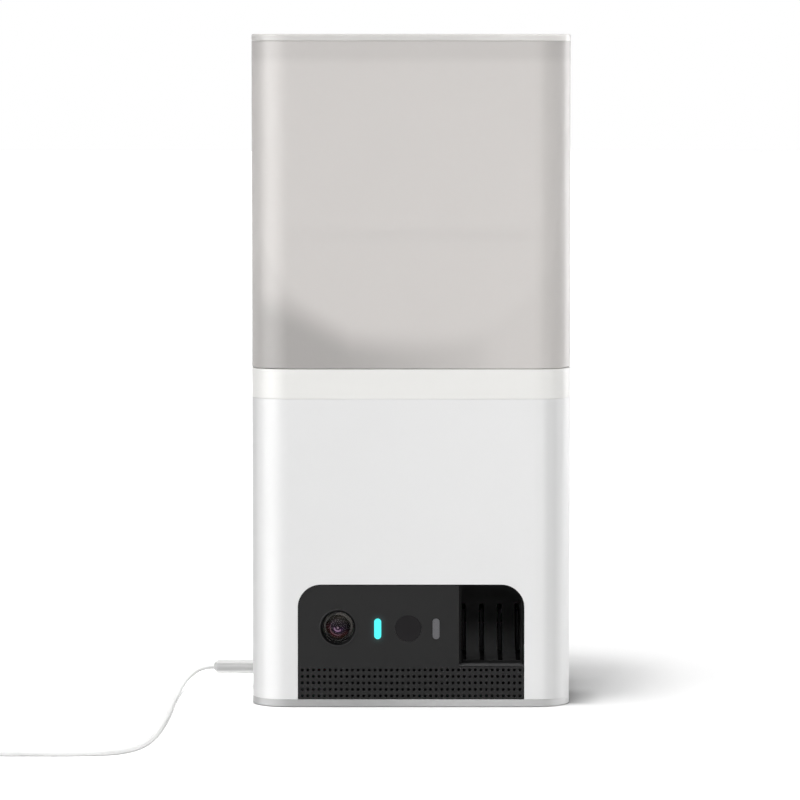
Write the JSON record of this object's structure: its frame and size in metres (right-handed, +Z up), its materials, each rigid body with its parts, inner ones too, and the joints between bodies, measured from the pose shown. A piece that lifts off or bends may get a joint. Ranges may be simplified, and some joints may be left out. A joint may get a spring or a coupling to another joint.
{
  "type": "treat tossing pet camera",
  "caption": "Square tower pet camera: translucent treat container with lift-off lid on a feeder, with a kicker that tosses treats from an outlet in the black front panel.",
  "frame": {"origin": "middle of the footprint on the surface that the object stands on, measured without the lead", "axes": "+Z up, front panel towards -Y, +X to the right of somebody who looks at the front"},
  "size_m": [0.2709, 0.2953, 0.268],
  "materials": {
    "shell_white": "satin moulded",
    "collar_white": "satin moulded",
    "base_grey": "fine texture",
    "container_smoke": "smoke tinted translucent, satin",
    "container_floor": "satin translucent",
    "lid_frost": "satin translucent",
    "panel_black": "fine satin",
    "chute_black": "matt",
    "trim_black": "polished",
    "clear_glass": "coated",
    "lens_glass": "coated",
    "window_dark": "polished, infrared clear",
    "light_cyan": "lit light pipe",
    "light_grey": "unlit light pipe",
    "board_green": "solder mask",
    "chip_black": "moulded",
    "led_clear": "clear",
    "steel": "machined",
    "zinc_screw": "zinc plated",
    "brass": "hobbed",
    "gear_white": "acetal",
    "frame_dark": "moulded",
    "foam_black": "closed cell foam",
    "silicone_white": "silicone",
    "pad_grey": "rubber",
    "ribbon_tan": "polyimide film",
    "wire_red": "insulated wire",
    "lead_white": "satin flexible",
    "plug_white": "satin moulded",
    "tie_white": "soft"
  },
  "bodies": {
    "base": {"base_plate": "base_grey", "foot_pads": "pad_grey", "base_screws": "zinc_screw", "lower_housing": "shell_white", "collar_cap": "collar_white", "front_bezel": "panel_black", "camera_ring": "trim_black", "camera_cover_glass": "clear_glass", "camera_barrel": "trim_black", "camera_lens": "lens_glass", "camera_sensor_board": "board_green", "status_light_guide": "light_cyan", "second_light_guide": "light_grey", "infrared_window": "window_dark", "front_board": "board_green", "front_leds": "led_clear", "speaker_gasket": "foam_black", "speaker_driver": "frame_dark", "treat_chute": "chute_black", "drop_duct": "chute_black", "launcher_bracket": "frame_dark", "launch_motor": "steel", "kicker_spring": "steel", "feeder_deck": "shell_white", "feeder_cup": "gear_white", "rotor_axle": "steel", "feed_motor": "steel", "main_board": "board_green", "main_chips": "chip_black", "button_spring": "steel", "button_switch": "chip_black", "power_socket": "steel", "socket_board": "board_green", "camera_ribbon": "ribbon_tan", "wiring_leads": "wire_red", "chassis_screws": "zinc_screw", "small_screws": "zinc_screw", "plug_body": "plug_white", "plug_shell": "steel", "power_cord": "lead_white", "power_cord_end": "lead_white", "power_cord_coil": "lead_white", "cord_tie": "tie_white", "supply_plug_body": "plug_white", "supply_plug_shell": "steel"},
    "hopper": {"hopper_shell": "container_smoke", "hopper_funnel": "container_floor"},
    "lid": {"lid_panel": "lid_frost", "lid_skirt": "lid_frost", "lid_seal": "silicone_white"},
    "rotor": {"feed_rotor": "gear_white"},
    "feed_drive": {"feed_pinion": "brass", "feed_motor_shaft": "steel"},
    "kicker": {"kicker_arm": "chute_black", "kicker_shaft": "steel", "kicker_gear": "gear_white"},
    "launch_drive": {"launch_pinion": "brass", "launch_motor_shaft": "steel"},
    "button": {"reset_button": "base_grey"}
  },
  "joints": [
    {"name": "hopper_lift", "type": "slide", "parent": "base", "child": "hopper", "axis": [0, 0, 1], "range_m": [0, 0.06]},
    {"name": "lid_lift", "type": "slide", "parent": "hopper", "child": "lid", "axis": [0, 0, 1], "range_m": [0, 0.04]},
    {"name": "rotor_spin", "type": "hinge", "parent": "base", "child": "rotor", "pos_m": [0.0175, -0.0105, 0.119], "axis": [0, 0, 1], "continuous": true},
    {"name": "feed_pinion_spin", "type": "hinge", "parent": "base", "child": "feed_drive", "pos_m": [-0.0122, 0.0192, 0.1085], "axis": [0, 0, 1], "continuous": true},
    {"name": "kicker_swing", "type": "hinge", "parent": "base", "child": "kicker", "pos_m": [0.032, -0.036, 0.0155], "axis": [1, 0, 0], "range_deg": [0, 75], "stiffness_Nm_per_rad": 0.02, "springref_deg": -20.05},
    {"name": "launch_pinion_spin", "type": "hinge", "parent": "base", "child": "launch_drive", "pos_m": [0.0123, -0.02431, 0.02225], "axis": [1, 0, 0], "range_deg": [-150, 0]},
    {"name": "reset_press", "type": "slide", "parent": "base", "child": "button", "axis": [0, -1, 0], "range_m": [0, 0.001], "stiffness_N_per_m": 400, "springref_m": -0.0005}
  ],
  "couplings": [
    {"joint": "feed_pinion_spin", "follows": "rotor_spin", "ratio": -6},
    {"joint": "launch_pinion_spin", "follows": "kicker_swing", "ratio": -2}
  ]
}
